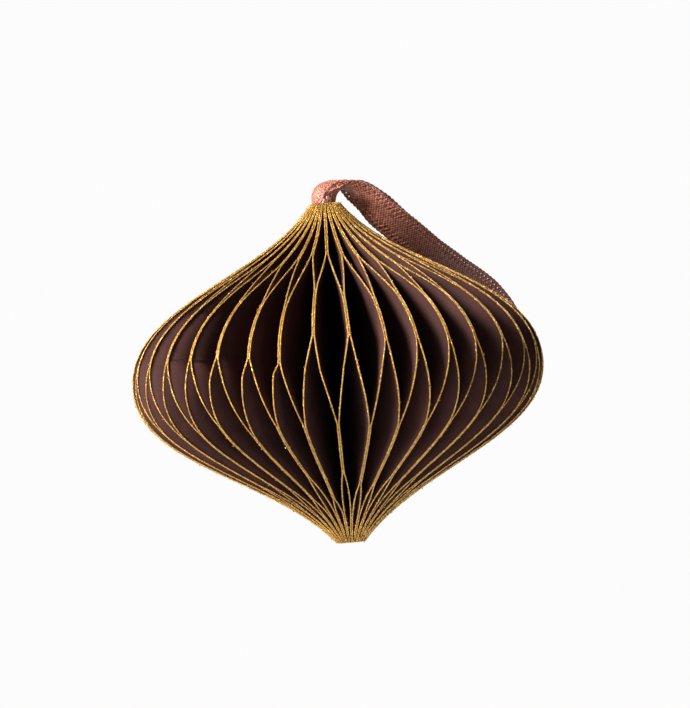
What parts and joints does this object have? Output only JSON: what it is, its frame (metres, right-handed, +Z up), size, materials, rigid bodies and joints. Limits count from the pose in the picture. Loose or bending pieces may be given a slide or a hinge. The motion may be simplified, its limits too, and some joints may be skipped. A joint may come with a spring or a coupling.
{
  "type": "honeycomb paper ornament",
  "caption": "Hanging paper ornament of onion shape: paper leaves glued in turn into long cells, with gold glitter on their cut edges and a ribbon loop at the neck.",
  "frame": {"origin": "the hang point: the middle of the neck's top, where the ribbon comes out", "axes": "+Z up along the ornament's axis, from tip to neck; -Y towards the viewer of the picture, so the ribbon loop lies over the right (+X) shoulder and behind"},
  "size_m": [0.08, 0.0846, 0.0707],
  "materials": {
    "leaf_paper": "matte",
    "gold_glitter": "satin",
    "gold_thread": "satin",
    "satin_ribbon": "satin"
  },
  "bodies": {
    "root": {"paper_leaves_01": "leaf_paper", "paper_leaves_02": "leaf_paper", "paper_leaves_03": "leaf_paper", "paper_leaves_04": "leaf_paper", "paper_leaves_05": "leaf_paper", "paper_leaves_06": "leaf_paper", "paper_leaves_07": "leaf_paper", "paper_leaves_08": "leaf_paper", "paper_leaves_09": "leaf_paper", "paper_leaves_10": "leaf_paper", "paper_leaves_11": "leaf_paper", "paper_leaves_12": "leaf_paper", "paper_leaves_13": "leaf_paper", "paper_leaves_14": "leaf_paper", "paper_leaves_15": "leaf_paper", "paper_leaves_16": "leaf_paper", "paper_leaves_17": "leaf_paper", "paper_leaves_18": "leaf_paper", "paper_leaves_19": "leaf_paper", "paper_leaves_20": "leaf_paper", "paper_leaves_21": "leaf_paper", "paper_leaves_22": "leaf_paper", "paper_leaves_23": "leaf_paper", "paper_leaves_24": "leaf_paper", "paper_leaves_25": "leaf_paper", "paper_leaves_26": "leaf_paper", "paper_leaves_27": "leaf_paper", "paper_leaves_28": "leaf_paper", "paper_leaves_29": "leaf_paper", "paper_leaves_30": "leaf_paper", "paper_leaves_31": "leaf_paper", "paper_leaves_32": "leaf_paper", "paper_leaves_33": "leaf_paper", "paper_leaves_34": "leaf_paper", "paper_leaves_35": "leaf_paper", "paper_leaves_36": "leaf_paper", "glitter_edges_01": "gold_glitter", "glitter_edges_02": "gold_glitter", "glitter_edges_03": "gold_glitter", "glitter_edges_04": "gold_glitter", "glitter_edges_05": "gold_glitter", "glitter_edges_06": "gold_glitter", "glitter_edges_07": "gold_glitter", "glitter_edges_08": "gold_glitter", "glitter_edges_09": "gold_glitter", "glitter_edges_10": "gold_glitter", "glitter_edges_11": "gold_glitter", "glitter_edges_12": "gold_glitter", "glitter_edges_13": "gold_glitter", "glitter_edges_14": "gold_glitter", "glitter_edges_15": "gold_glitter", "glitter_edges_16": "gold_glitter", "glitter_edges_17": "gold_glitter", "glitter_edges_18": "gold_glitter", "tip_thread": "gold_thread", "hanging_ribbon": "satin_ribbon"}
  },
  "joints": []
}
